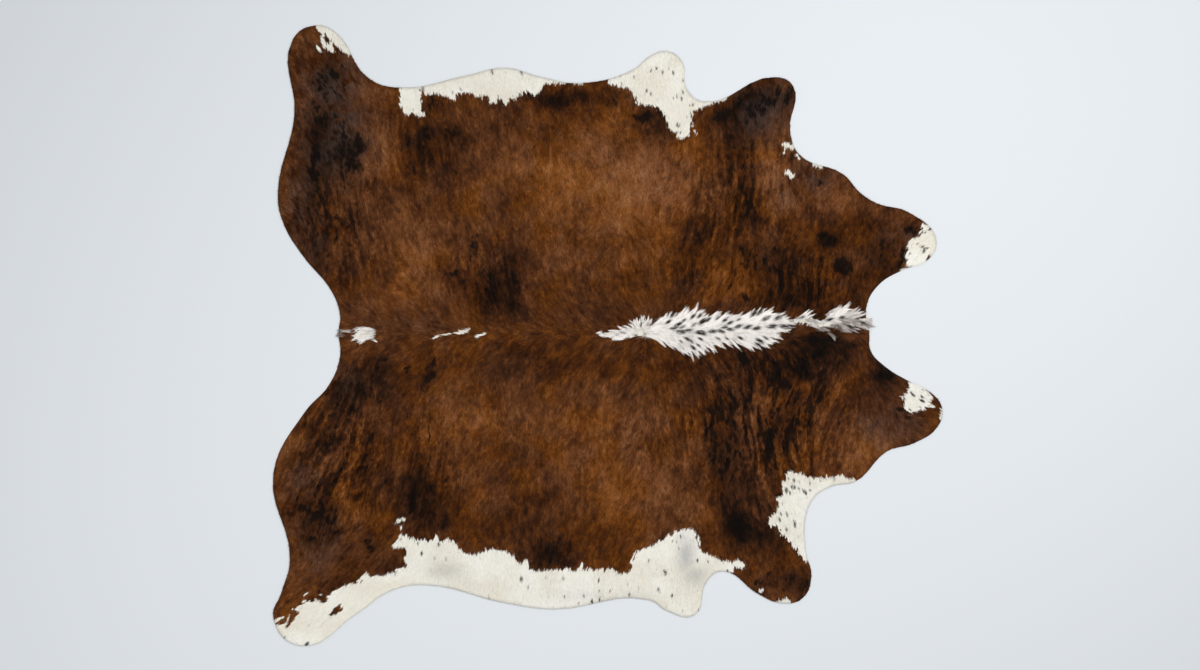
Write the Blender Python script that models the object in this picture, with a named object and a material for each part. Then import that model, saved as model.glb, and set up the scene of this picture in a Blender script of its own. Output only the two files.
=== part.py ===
"""Whole cowhide rug: one hide with its hair on, cut round the legs and the neck, lying flat.

The hide's tail end is at -X, its neck at +X and its left side at +Y, with the hair up. The origin
is at the middle of the box round the hide, on the surface that it lies on.
"""

import bpy

# Driving dimensions, in metres
THICKNESS = 0.006       # about 2 mm of leather under 4 mm of short hair lying down on it
CURVE_STEPS = 6         # straight steps from each landmark of the cut edge to the next

# The colour, roughness and metallic value of the coat
COAT_BROWN = (0.115, 0.045, 0.017, 1.0)
COAT_ROUGHNESS = 0.7
COAT_METALLIC = 0.0

# The cut edge, from the tail up the left side to the neck and back down the right side.
# Each row is a landmark: its name, its place along the spine, and its place across the hide.
LEFT_RUMP = (
    ("root of the tail", -0.885, 0.010),
    ("tail cleft", -0.880, 0.065),
    ("start of the rump", -0.905, 0.140),
    ("slope of the rump", -1.005, 0.265),
    ("turn of the rump", -1.065, 0.365),
    ("widest rump", -1.085, 0.460),
    ("dip at the hock", -1.030, 0.725),
)
LEFT_HIND_LEG = (
    ("back corner", -1.035, 0.975),
    ("tip", -0.960, 1.020),
    ("front corner", -0.900, 1.000),
    ("shin", -0.785, 0.845),
    ("groin", -0.685, 0.815),
)
LEFT_BELLY = (
    ("rise of the belly", -0.465, 0.855),
    ("crown of the belly", -0.340, 0.880),
    ("fall of the belly", -0.220, 0.850),
    ("waist", -0.100, 0.830),
)
LEFT_ELBOW_FLAP = (
    ("foot", 0.085, 0.875),
    ("back edge", 0.140, 0.920),
    ("tip", 0.195, 0.935),
    ("front edge", 0.245, 0.900),
    ("root", 0.260, 0.810),
    ("arm pit", 0.310, 0.770),
)
LEFT_FORELEG = (
    ("tip", 0.555, 0.850),
    ("front corner", 0.610, 0.820),
    ("wrist", 0.600, 0.670),
    ("turn of the brisket", 0.630, 0.595),
)
LEFT_NECK = (
    ("start of the jaw", 0.775, 0.530),
    ("slope of the jaw", 0.830, 0.470),
    ("throat", 0.885, 0.435),
    ("back of the cheek", 0.990, 0.405),
    ("tip of the cheek", 1.080, 0.315),
    ("foot of the cheek", 1.055, 0.250),
    ("root of the cheek", 0.970, 0.215),
    ("curve of the nape", 0.890, 0.165),
    ("crown of the nape", 0.850, 0.090),
)
RIGHT_NECK = (
    ("middle of the nape", 0.860, 0.010),
    ("crown of the nape", 0.865, -0.050),
    ("curve of the nape", 0.910, -0.100),
    ("root of the cheek", 0.990, -0.150),
    ("foot of the cheek", 1.060, -0.185),
    ("tip of the cheek", 1.100, -0.240),
    ("corner of the cheek", 1.085, -0.300),
    ("back of the cheek", 1.005, -0.355),
    ("throat", 0.920, -0.380),
    ("start of the jaw", 0.815, -0.480),
    ("step of the brisket", 0.740, -0.495),
    ("turn of the brisket", 0.670, -0.545),
)
RIGHT_FORELEG = (
    ("wrist", 0.650, -0.705),
    ("front edge", 0.670, -0.790),
    ("front corner", 0.640, -0.865),
    ("tip", 0.570, -0.880),
    ("back edge", 0.495, -0.850),
    ("arm pit", 0.375, -0.775),
)
RIGHT_ELBOW_FLAP = (
    ("root", 0.325, -0.810),
    ("tip", 0.285, -0.920),
    ("back edge", 0.195, -0.905),
    ("foot", 0.140, -0.870),
)
RIGHT_BELLY = (
    ("crown of the belly", -0.180, -0.900),
    ("fall of the belly", -0.335, -0.880),
    ("groin", -0.605, -0.820),
)
RIGHT_HIND_LEG = (
    ("foot of the shin", -0.715, -0.840),
    ("shin", -0.825, -0.915),
    ("tip", -1.015, -1.020),
    ("back edge", -1.100, -0.925),
    ("hock", -1.075, -0.850),
    ("dip at the hock", -1.045, -0.740),
)
RIGHT_RUMP = (
    ("widest rump", -1.100, -0.455),
    ("slope of the rump", -0.995, -0.250),
    ("start of the rump", -0.915, -0.160),
    ("tail cleft", -0.880, -0.065),
)
CUT_EDGE = (
    LEFT_RUMP + LEFT_HIND_LEG + LEFT_BELLY + LEFT_ELBOW_FLAP + LEFT_FORELEG + LEFT_NECK
    + RIGHT_NECK + RIGHT_FORELEG + RIGHT_ELBOW_FLAP + RIGHT_BELLY + RIGHT_HIND_LEG + RIGHT_RUMP
)


def clear_scene():
    for thing in list(bpy.data.objects):
        bpy.data.objects.remove(thing)


def new_collection(name):
    collection = bpy.data.collections.new(name)
    bpy.context.scene.collection.children.link(collection)
    return collection


def coat_material():
    material = bpy.data.materials.new("brown coat")
    material.use_nodes = True
    shader = material.node_tree.nodes["Principled BSDF"]
    shader.inputs["Base Color"].default_value = COAT_BROWN
    shader.inputs["Roughness"].default_value = COAT_ROUGHNESS
    shader.inputs["Metallic"].default_value = COAT_METALLIC
    return material


def make_hide(collection):
    """The hide is a flat outline: one smooth closed curve through the landmarks, filled and extruded."""
    curve = bpy.data.curves.new("cowhide", "CURVE")
    curve.dimensions = "2D"
    curve.fill_mode = "BOTH"
    curve.extrude = THICKNESS / 2
    curve.resolution_u = CURVE_STEPS
    edge = curve.splines.new("BEZIER")
    edge.use_cyclic_u = True
    edge.bezier_points.add(len(CUT_EDGE) - 1)
    for point, (_, along, across) in zip(edge.bezier_points, CUT_EDGE):
        point.co = (along, across, 0.0)
        point.handle_left_type = "AUTO"
        point.handle_right_type = "AUTO"
    curve.materials.append(coat_material())
    hide = bpy.data.objects.new("cowhide", curve)
    collection.objects.link(hide)
    return hide


def stand_on_origin(hide):
    """Moves the hide so that the middle of its underside box is at the origin."""
    bpy.context.view_layer.update()
    lowest = [min(corner[axis] for corner in hide.bound_box) for axis in range(3)]
    highest = [max(corner[axis] for corner in hide.bound_box) for axis in range(3)]
    hide.location.x = -(lowest[0] + highest[0]) / 2
    hide.location.y = -(lowest[1] + highest[1]) / 2
    hide.location.z = -lowest[2]


clear_scene()
rug = new_collection("cowhide rug")
stand_on_origin(make_hide(rug))
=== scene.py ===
"""The looks of a whole cowhide rug: a leather hide under a coat of short hair that lies down flat.

The coat is made of locks, thin bent blades of hair that follow the nap. Each lock takes its colour
from the hide's markings: white patches along the belly and the legs, brindled brown, and black smudges.
A strip of longer white hair runs along the spine over the shoulders to the neck.

The frame is the CAD part's: metres, the tail at -X, the neck at +X, the left side at +Y, hair up.
"""

import math

import bmesh
import bpy
import numpy as np
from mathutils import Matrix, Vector


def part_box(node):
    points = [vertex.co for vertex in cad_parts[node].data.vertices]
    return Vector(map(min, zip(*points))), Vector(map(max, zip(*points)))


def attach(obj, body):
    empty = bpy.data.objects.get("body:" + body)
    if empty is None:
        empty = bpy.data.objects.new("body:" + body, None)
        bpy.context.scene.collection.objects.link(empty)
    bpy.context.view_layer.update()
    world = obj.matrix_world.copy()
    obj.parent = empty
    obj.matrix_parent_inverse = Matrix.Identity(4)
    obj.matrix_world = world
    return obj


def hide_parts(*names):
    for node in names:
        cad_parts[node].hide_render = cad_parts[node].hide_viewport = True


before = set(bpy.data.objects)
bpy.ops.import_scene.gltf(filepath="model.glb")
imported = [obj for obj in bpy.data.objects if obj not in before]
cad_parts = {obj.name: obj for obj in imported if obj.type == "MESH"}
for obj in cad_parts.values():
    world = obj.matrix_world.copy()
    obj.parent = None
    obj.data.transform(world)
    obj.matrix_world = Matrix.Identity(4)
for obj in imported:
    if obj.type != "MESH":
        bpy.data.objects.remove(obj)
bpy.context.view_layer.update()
HIDE_NODE = "cowhide"

# --- Sizes, in metres ---

LEATHER = 0.002             # thickness of the leather
LEATHER_CELL = 0.015        # grid that the leather is cut into
EDGE_ROUNDING = 0.0005      # of the leather's cut edge
EDGE_INSET = 0.0018         # the coat starts this far in from the cut edge
OVERHANG = 0.0002           # how far tips may reach past the cut edge
# Painted shadow along the cut edge: the hair there is darkened, partly also for the leather showing between
# the short hair
PAINTED_EDGE_SHADOW = 0.36           # how much the hair darkens at the cut edge
PAINTED_EDGE_SHADOW_REACH = 0.004    # how far in from the edge it does

LOCK_PITCH = 0.00302        # from one lock's root to the next
LOCK_LENGTH = (0.011, 0.018)
LOCK_WIDTH = (0.0018, 0.0034)
LOCK_LIFT = (0.0010, 0.0028)    # height of the tips above the leather
LOCK_RISE = (0.1, 0.45, 1.0, 0.45)    # share of that lift at the root, a side, the tip and the other side
LOCK_MIDDLE = 0.45          # where along its length a lock is widest
LOCK_SWAY = 14.0            # how far locks turn away from the nap, in degrees
LOCK_TIP_SWAY = 0.12        # how far tips bend sideways, against the lock's length
LOCK_SHORTEST = 0.25        # share of its length that a lock keeps where it meets the cut edge
LOCK_SHOWN = 0.7            # where along its length a lock's colour is read from the markings
LOCK_ROLL = 0.0003          # how far a lock's sides tip up and down
LOCK_DROOP = 0.0002         # how far its sides hang

TINY = 1e-9                 # keeps a division from meeting zero
MICRON = 1e-6               # the least length that another is divided by
WELD = 1e-5                 # points closer than this are one

# --- Tables ---
# The nap and the markings are listed in tables of whole millimetres, degrees and percent.

MM, DEGREES, PERCENT = 1000, 1, 100
GUIDE = (MM, MM, MM, DEGREES)                   # x, y, reach, heading
STROKE = (MM,) * 6                              # of a tapered brush: x, y and radius at each end
FLECK = (MM, MM, MM, PERCENT)                   # x, y, half-length, strength
SPAN = (MM, MM, MM, DEGREES)                    # x, the lowest and highest y there, fan
TUFT = (MM, MM, DEGREES, MM, PERCENT)           # x, y, heading, length, shade from dark to white
BLOT = (MM, MM, MM, MM, DEGREES, PERCENT)       # x, y, reach along X and Y, turn, strength


def table(units, *rows):
    """Rows in metres, degrees and shares of one, from rows of whole numbers in the given units."""
    return tuple(tuple(value / unit for value, unit in zip(row, units)) for row in rows)


# --- The lie of the hair ---

WHORL = 0.13                # along the spine: hair turns to the tail behind it, to the neck before it
WHORL_BAND = 0.10           # length over which it turns
PARTING = 0.035             # half-width of the band in which the nap turns over from left to right
SPINE_BAND = 0.09           # how far from the spine the hair still runs along it
GUIDE_PULL = 6.0            # how strongly a guide turns the nap

# Where the nap leaves the plain run from spine to belly
NAP_GUIDES = table(
    GUIDE,
    (-970, 930, 140, 125), (-930, 700, 120, 105), (-1040, 450, 100, 110), (-840, 20, 50, 178),
    (-980, -940, 160, 215), (-800, -800, 120, 222), (-1020, -450, 120, 255), (-900, -300, 100, 245),
    (200, 880, 100, 95), (560, 780, 100, 80), (260, -860, 100, 268), (580, -780, 120, 282),
    (620, -520, 80, 290), (720, -250, 120, 248), (860, -300, 100, 290), (1040, -240, 80, 330),
    (800, 400, 120, 80), (1020, 290, 80, 40),
)

# --- White markings ---

WHITE_LEFT_HIND_LEG = table(
    STROKE,
    (-952, 1016, 10, -905, 988, 28), (-905, 988, 26, -850, 932, 10), (-930, 980, 20, -913, 948, 15),
    (-913, 955, 13, -905, 938, 6), (-955, 950, 4, -946, 938, 4),
)
WHITE_LEFT_BELLY = table(
    STROKE,
    (-648, 815, 36, -648, 762, 33), (-660, 745, 12, -605, 727, 6), (-600, 832, 34, -500, 850, 53),
    (-530, 810, 30, -508, 785, 10), (-500, 850, 53, -420, 862, 59), (-400, 850, 62, -330, 842, 64),
    (-378, 800, 28, -375, 774, 12), (-345, 800, 28, -336, 768, 10), (-330, 850, 58, -250, 845, 46),
    (-270, 840, 40, -245, 805, 14), (-220, 850, 22, -170, 845, 14), (-170, 846, 11, -85, 831, 6),
)
WHITE_LEFT_FLAP = table(
    STROKE,
    (110, 900, 40, 200, 912, 45), (20, 858, 12, 100, 885, 35), (8, 836, 6, 90, 846, 36),
    (100, 830, 36, 160, 870, 60), (117, 792, 33, 170, 802, 50), (170, 860, 70, 200, 870, 70),
    (190, 800, 55, 225, 780, 55), (225, 770, 54, 240, 700, 36), (240, 700, 34, 243, 677, 25),
    (260, 800, 30, 290, 765, 22), (290, 767, 20, 340, 772, 10), (340, 772, 8, 388, 780, 4),
    (286, 671, 3, 293, 665, 1),
)
WHITE_LEFT_WRIST = table(
    STROKE,
    (583, 630, 6, 606, 620, 7), (583, 626, 4, 580, 601, 3), (592, 536, 7, 609, 528, 6),
    (600, 530, 5, 600, 517, 2), (622, 592, 4, 630, 586, 4), (676, 564, 4, 702, 556, 5),
)
WHITE_LEFT_CHEEK = table(
    STROKE,
    (975, 214, 10, 1020, 212, 20), (1058, 335, 31, 1062, 300, 40), (1030, 290, 40, 1020, 260, 36),
    (1008, 300, 22, 1010, 250, 26), (995, 236, 16, 1020, 235, 22), (1045, 357, 11, 1050, 340, 14),
)
WHITE_RIGHT_CHEEK = table(
    STROKE,
    (1010, -165, 21, 1020, -200, 35), (1018, -212, 40, 1040, -210, 26), (985, -205, 13, 963, -204, 3),
    (1000, -226, 25, 1050, -226, 14), (1055, -231, 5, 1076, -235, 2), (1104, -247, 8, 1100, -275, 6),
)
WHITE_TAIL = table(
    STROKE,
    (-818, 1, 15, -795, 7, 15), (-792, 4, 13, -778, 4, 8),
)
WHITE_LOIN_LINE = table(
    STROKE,
    (-577, -10, 3, -560, -3, 5), (-556, 1, 2, -512, 7, 3), (-507, 8, 3, -483, 11, 6),
    (-483, 13, 4, -464, 15, 3), (-470, 20, 3, -458, 22, 3), (-430, -1, 5, -405, 6, 3),
)
WHITE_RIGHT_BELLY = table(
    STROKE,
    (-700, -812, 30, -620, -792, 48), (-600, -760, 70, -550, -760, 85),
    (-650, -692, 24, -600, -722, 42), (-703, -694, 6, -672, -682, 21), (-683, -662, 7, -670, -680, 16),
    (-572, -700, 26, -563, -664, 5), (-550, -722, 46, -532, -715, 40), (-500, -790, 75, -420, -803, 77),
    (-400, -790, 75, -365, -780, 78), (-320, -830, 70, -250, -842, 70), (-282, -780, 20, -267, -745, 4),
    (-250, -842, 68, 0, -835, 63), (-97, -780, 10, -84, -752, 3), (-690, -612, 6, -672, -605, 5),
    (-680, -632, 3, -682, -640, 2),
)
WHITE_RIGHT_HIND_LEG = table(
    STROKE,
    (-1060, -1020, 40, -950, -1010, 50), (-1062, -985, 42, -1020, -982, 56),
    (-1000, -950, 60, -950, -932, 60), (-960, -902, 34, -986, -887, 17),
    (-930, -932, 60, -850, -892, 60), (-850, -882, 58, -780, -842, 45), (-800, -800, 14, -793, -785, 8),
    (-780, -842, 45, -700, -812, 30), (-1096, -942, 6, -1066, -925, 3), (-997, -853, 2, -985, -845, 2),
    (-960, -870, 6, -944, -855, 3),
)
WHITE_RIGHT_FLAP = table(
    STROKE,
    (290, -800, 45, 318, -850, 30), (80, -860, 45, 180, -900, 50), (180, -900, 50, 270, -930, 40),
    (280, -790, 40, 340, -800, 30), (0, -835, 63, 60, -842, 52), (100, -802, 58, 140, -780, 84),
    (150, -780, 84, 200, -760, 84), (225, -702, 50, 255, -686, 45), (236, -664, 24, 265, -660, 23),
    (260, -740, 60, 240, -860, 72), (280, -742, 45, 330, -762, 35), (330, -765, 38, 385, -766, 26),
    (385, -765, 22, 404, -760, 9), (420, -752, 10, 440, -757, 11),
)
WHITE_RIGHT_FORELEG = table(
    STROKE,
    (650, -560, 30, 662, -700, 18), (812, -479, 8, 760, -486, 22), (760, -488, 24, 700, -512, 36),
    (680, -522, 50, 630, -512, 56), (620, -490, 37, 605, -480, 29), (610, -510, 34, 610, -580, 50),
    (575, -540, 17, 559, -538, 4), (600, -600, 50, 610, -630, 45), (565, -606, 28, 549, -611, 18),
    (605, -642, 34, 630, -680, 28), (632, -680, 28, 658, -732, 13), (560, -883, 10, 590, -878, 12),
    (503, -842, 5, 508, -840, 3),
)
# The short white coat under the long hair of the spine strip
WHITE_SPINE = table(
    STROKE,
    (-15, 4, 4, 60, 6, 10), (60, 8, 10, 120, 16, 22), (120, 16, 18, 200, 20, 30),
    (200, 20, 30, 300, 18, 40), (300, 18, 40, 440, 24, 34), (440, 24, 34, 530, 28, 34),
    (530, 40, 18, 590, 46, 10), (530, 16, 8, 600, 19, 3), (622, 50, 6, 650, 57, 12),
    (650, 50, 10, 700, 38, 6), (700, 36, 7, 790, 44, 14), (790, 42, 10, 862, 41, 6),
)
WHITE_STROKES = (
    WHITE_LEFT_HIND_LEG + WHITE_LEFT_BELLY + WHITE_LEFT_FLAP + WHITE_LEFT_WRIST + WHITE_LEFT_CHEEK
    + WHITE_RIGHT_CHEEK + WHITE_TAIL + WHITE_LOIN_LINE + WHITE_RIGHT_BELLY + WHITE_RIGHT_HIND_LEG
    + WHITE_RIGHT_FLAP + WHITE_RIGHT_FORELEG + WHITE_SPINE
)
# Brown islands in the white
BROWN_ISLANDS = table(
    STROKE,
    (-930, 982, 9, -923, 970, 10), (-914, -919, 4, -882, -886, 5), (-898, -910, 7, -876, -899, 5),
    (-1056, -960, 4, -1034, -915, 12), (-955, -862, 8, -935, -868, 10), (50, -760, 26, 60, -765, 20),
)
FULL_RAG = 0.016            # radius of stroke from which its edge is as ragged as it can be

# --- Flecks: small dark marks in the white ---

FLECKS = table(
    FLECK,
    (-380, 868, 7, 45), (-284, 863, 9, 40), (-608, 810, 10, 35), (-484, 812, 6, 35), (-510, 800, 7, 25),
    (-336, 867, 5, 20), (-640, 745, 5, 25), (-675, 780, 5, 20), (160, 880, 6, 50), (142, 873, 5, 40),
    (181, 867, 6, 45), (200, 878, 4, 30), (215, 865, 6, 50), (246, 842, 5, 50), (86, 852, 5, 50),
    (45, 828, 6, 30), (127, 805, 6, 45), (142, 797, 6, 45), (227, 790, 5, 45), (216, 782, 4, 40),
    (243, 781, 6, 60), (246, 803, 5, 40), (280, 760, 6, 40), (228, 695, 6, 60), (235, 692, 5, 55),
    (226, 668, 6, 50), (240, 668, 5, 45), (262, 718, 4, 30), (205, 900, 4, 20), (1060, 350, 5, 90),
    (1045, 340, 5, 75), (1035, 341, 6, 50), (1026, 328, 5, 50), (1019, 302, 4, 70), (1028, 296, 4, 50),
    (1036, 293, 5, 80), (1042, 286, 5, 80), (1052, 288, 4, 90), (1041, 277, 6, 65), (1060, 268, 3, 40),
    (986, 225, 4, 60), (998, 224, 3, 35), (997, 318, 4, 50), (994, 270, 4, 50), (1001, -188, 5, 75),
    (1006, -197, 6, 85), (1036, -204, 6, 65), (1028, -212, 4, 55), (1037, -217, 7, 85),
    (1028, -237, 4, 60), (977, -210, 4, 60), (996, -246, 5, 40), (1056, -196, 3, 50),
    (-1066, -995, 5, 85), (-990, -1014, 7, 90), (-985, -954, 6, 25), (-612, -719, 7, 60),
    (-556, -689, 8, 40), (-625, -688, 6, 40), (-532, -738, 6, 30), (-570, -735, 6, 25),
    (-284, -803, 9, 55), (-262, -828, 6, 30), (-146, -800, 7, 35), (-204, -798, 6, 25),
    (-30, -808, 6, 60), (-28, -842, 5, 40), (-52, -876, 6, 70), (-27, -870, 5, 65), (-142, -860, 5, 40),
    (-79, -858, 6, 40), (-420, -735, 5, 25), (-97, -882, 5, 35), (8, -843, 5, 35), (70, -853, 6, 45),
    (134, -742, 5, 40), (190, -782, 7, 70), (184, -774, 5, 40), (166, -838, 6, 60), (172, -846, 4, 35),
    (211, -857, 6, 65), (245, -908, 5, 30), (240, -662, 4, 60), (226, -680, 4, 45), (213, -678, 4, 40),
    (232, -702, 4, 40), (295, -741, 5, 65), (330, -745, 4, 40), (394, -776, 5, 60), (100, -832, 5, 20),
    (65, -820, 6, 20), (588, -512, 8, 75), (600, -520, 6, 60), (606, -499, 6, 70), (614, -502, 5, 70),
    (613, -478, 6, 45), (595, -472, 5, 40), (630, -507, 5, 65), (645, -515, 5, 60), (651, -518, 6, 75),
    (665, -510, 5, 50), (665, -489, 5, 45), (631, -484, 5, 35), (590, -591, 6, 55), (570, -588, 6, 40),
    (566, -608, 7, 55), (616, -623, 8, 65), (612, -612, 5, 40), (588, -639, 7, 45), (627, -663, 5, 25),
    (575, -550, 4, 30), (745, -475, 8, 30),
)
FLECK_BREADTH = 0.56        # of a fleck, against its length
FLECK_GAIN = 1.9

# --- The long hair along the spine ---

# Where it reaches and how far it fans out
SPINE_SPAN = table(
    SPAN,
    (-25, 3, 9, 4), (0, -6, 9, 8), (40, -18, 20, 14), (60, -15, 30, 24), (80, -16, 40, 36),
    (95, -16, 52, 50), (110, -14, 60, 60), (130, -14, 56, 60), (150, -22, 44, 50), (180, -32, 64, 54),
    (220, -45, 74, 54), (280, -68, 90, 54), (330, -54, 74, 52), (375, -34, 78, 50), (420, -34, 74, 48),
    (470, -46, 78, 46), (520, -42, 90, 42), (545, -28, 82, 36), (562, 0, 78, 34), (580, 12, 58, 26),
    (605, 24, 46, 18), (630, 30, 64, 40), (655, 32, 94, 54), (690, 24, 58, 20), (720, 16, 58, 26),
    (745, 14, 90, 46), (775, 10, 106, 50), (810, 12, 98, 42), (840, 20, 76, 28), (870, 28, 56, 14),
)
SPINE_WHORL = (0.112, 0.010)    # where the long hair parts, and lies outwards all round
SPINE_WHORL_RADIUS = 0.034
TUFT_PITCH = 0.0078         # from one tuft's root to the next
TUFT_FIELD = ((-0.014, 0.85), (-0.07, 0.10))    # the stretch of X and of Y that roots are spread over
TUFT_LENGTH = (0.034, 0.052)
TUFT_LIFT = (0.0025, 0.0055)
TUFT_SPREAD = 0.0036        # of its hairs at their roots
TUFT_POINT = 0.0013         # of their tips
TUFT_BOW = 0.0030
TUFT_HAIRS = 14
HAIR_BOW = 0.0012           # how much one hair bows apart from its tuft
HAIR_WIDTH = (0.0007, 0.0013)
HAIR_CLEARANCE = 0.0008     # above the leather
HAIR_RINGS = np.array((0.0, 0.16, 0.32, 0.50, 0.68, 0.85))    # a hair's cross-sections along it
ALONG_HAIR = np.concatenate([np.repeat(HAIR_RINGS, 2), [1.0]])    # where its corners are along it
LONE_TUFTS = table(
    TUFT,
    (728, 10, -38, 30, 20), (738, 2, -62, 24, 30), (700, 22, -14, 36, 35), (770, 18, -12, 36, 35),
    (848, 36, 4, 24, 55), (848, 44, 8, 26, 60), (848, 50, 18, 24, 50), (846, 30, -8, 22, 40),
    (-768, 10, 170, 50, 100), (-770, 3, 181, 54, 100), (-772, -4, 190, 50, 100),
    (-782, 18, 168, 46, 100), (-786, 8, 178, 56, 100), (-788, -2, 190, 54, 100),
    (-790, -8, 206, 42, 100), (-798, -12, 222, 26, 100), (-800, 16, 174, 40, 100),
    (-804, 4, 184, 42, 100), (-812, -6, 200, 36, 100), (-846, 12, 177, 36, 60),
    (-770, -14, 330, 16, 90), (-872, 6, 178, 22, 10), (-874, 1, 186, 22, 12), (-872, 12, 170, 20, 15),
    (94, 34, 112, 22, 95), (102, 38, 104, 24, 100), (110, 42, 94, 26, 100), (118, 42, 84, 26, 100),
    (126, 42, 70, 26, 100), (134, 36, 58, 24, 100), (276, 78, 58, 40, 100), (284, -48, -62, 34, 100),
    (330, -34, -52, 36, 100),
)
SPINE_FLECKS = table(
    FLECK,
    (200, 45, 10, 80), (213, 66, 10, 75), (232, 36, 12, 80), (210, 25, 8, 40), (250, 50, 9, 60),
    (222, 26, 12, 70), (245, 28, 10, 60), (280, 62, 10, 80), (302, 65, 9, 80), (285, 36, 10, 50),
    (312, 46, 13, 95), (330, 52, 10, 80), (362, 58, 9, 70), (377, 73, 8, 70), (385, 50, 10, 70),
    (402, 42, 10, 80), (385, 28, 12, 50), (240, 12, 16, 60), (265, 16, 14, 50), (305, 10, 14, 90),
    (315, 4, 8, 80), (345, 14, 14, 75), (372, 14, 12, 70), (402, 20, 12, 60), (430, 30, 14, 50),
    (430, 52, 8, 50), (262, -12, 12, 60), (275, -20, 10, 50), (280, -40, 11, 80), (305, -12, 9, 70),
    (298, -32, 9, 50), (362, -10, 9, 70), (392, -10, 8, 50), (240, -20, 8, 40), (436, -8, 9, 80),
    (120, 6, 5, 60), (118, 16, 4, 40), (50, 10, 10, 40), (460, 28, 14, 60), (490, 24, 14, 60),
    (480, 72, 12, 80), (500, 76, 12, 80), (520, 56, 14, 70), (560, 58, 12, 80), (500, -18, 12, 100),
    (495, -30, 10, 90), (540, 30, 16, 60), (520, -8, 10, 60), (545, -10, 8, 60), (580, 30, 16, 60),
    (600, 30, 14, 70), (640, 60, 8, 40), (770, 60, 10, 90), (730, 52, 12, 60), (760, 30, 12, 40),
    (800, 30, 16, 50), (840, 40, 14, 50), (820, 55, 8, 50),
)
SPINE_FLECK_BREADTH = 0.44
SPINE_FLECK_GAIN = 2.3

# --- Tones of the brown: soft blots that change its lightness, among them painted sheen ---

BASE_LIGHTNESS = 0.64
# Where the brown is lighter: painted sheen where the hair catches the light, and hair that is more orange
LIGHTER_TONE_AND_SHEEN = table(
    BLOT,
    (50, 430, 300, 200, 0, 30), (200, 560, 140, 100, 0, 10), (-620, 270, 240, 130, 0, 16),
    (-300, 500, 180, 120, 0, 12), (-700, 90, 260, 80, 0, 14), (-450, -270, 170, 130, 0, 24),
    (-180, -280, 220, 100, 0, 10), (60, -420, 240, 200, 0, 22), (240, -560, 120, 100, 0, 20),
    (380, 200, 90, 80, 0, 12), (540, 500, 70, 160, 0, 16), (740, 470, 100, 50, -40, 24),
    (840, -400, 100, 70, 30, 30), (320, -150, 120, 50, 0, 8), (-760, 620, 70, 130, 0, 16),
    (-1060, 500, 30, 160, 0, 16), (-1060, -420, 40, 140, 0, 16), (-860, -580, 30, 80, 0, 22),
    (-120, 660, 300, 60, 0, 4), (950, 100, 60, 50, 0, 10), (570, -880, 60, 30, 0, 10),
)
DARKER = table(
    BLOT,
    (-940, 840, 90, 130, 0, -12), (-950, 620, 90, 140, 0, -16), (-860, 640, 60, 110, 0, -10),
    (-980, 420, 50, 160, 0, -16), (-880, 440, 40, 140, 0, -12), (-560, 620, 130, 90, 10, -13),
    (-640, 480, 50, 80, 0, -12), (-160, 780, 120, 50, -5, -34), (-20, 800, 80, 30, 0, -22),
    (120, 710, 60, 50, -20, -30), (170, 670, 40, 50, 0, -14), (-400, 170, 130, 90, 0, -26),
    (-300, 290, 80, 80, 0, -8), (-40, 80, 320, 80, 0, -10), (400, 700, 100, 100, 0, -22),
    (360, 400, 120, 100, 0, -14), (260, 280, 70, 100, 0, -16), (470, 480, 50, 160, 0, -18),
    (570, 220, 100, 120, 0, -10), (660, 120, 160, 70, 0, -24), (680, 500, 70, 50, 0, -10),
    (860, 340, 100, 80, 0, -14), (920, 260, 80, 80, 0, -16), (700, -50, 180, 70, 0, -34),
    (360, -300, 50, 180, 0, -16), (450, -400, 50, 200, 0, -14), (550, -360, 60, 180, -10, -20),
    (660, -220, 60, 140, -15, -20), (500, -120, 80, 60, 0, -18), (400, -560, 80, 120, 0, -24),
    (460, -660, 100, 90, 0, -30), (560, -720, 60, 80, 0, -14), (920, -140, 60, 50, -25, -26),
    (1000, -300, 100, 50, 10, -6), (-820, -140, 100, 70, 0, -22), (-900, -280, 90, 100, 0, -22),
    (-740, -180, 80, 100, 40, -12), (-160, -60, 360, 60, 0, -12), (-950, -580, 110, 100, 0, -22),
    (-640, -520, 80, 110, 0, -26), (-550, -600, 80, 50, 0, -14), (-300, -620, 340, 100, 0, -8),
    (-160, -720, 120, 50, 0, -26), (-900, -740, 100, 100, 0, -4), (720, -120, 260, 160, 0, -9),
    (740, 200, 220, 160, 0, -6), (620, -820, 80, 70, 0, -20), (500, 760, 120, 80, 25, -16),
    (-920, 760, 90, 180, 0, -8), (-200, -300, 500, 360, 0, -4),
)
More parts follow.
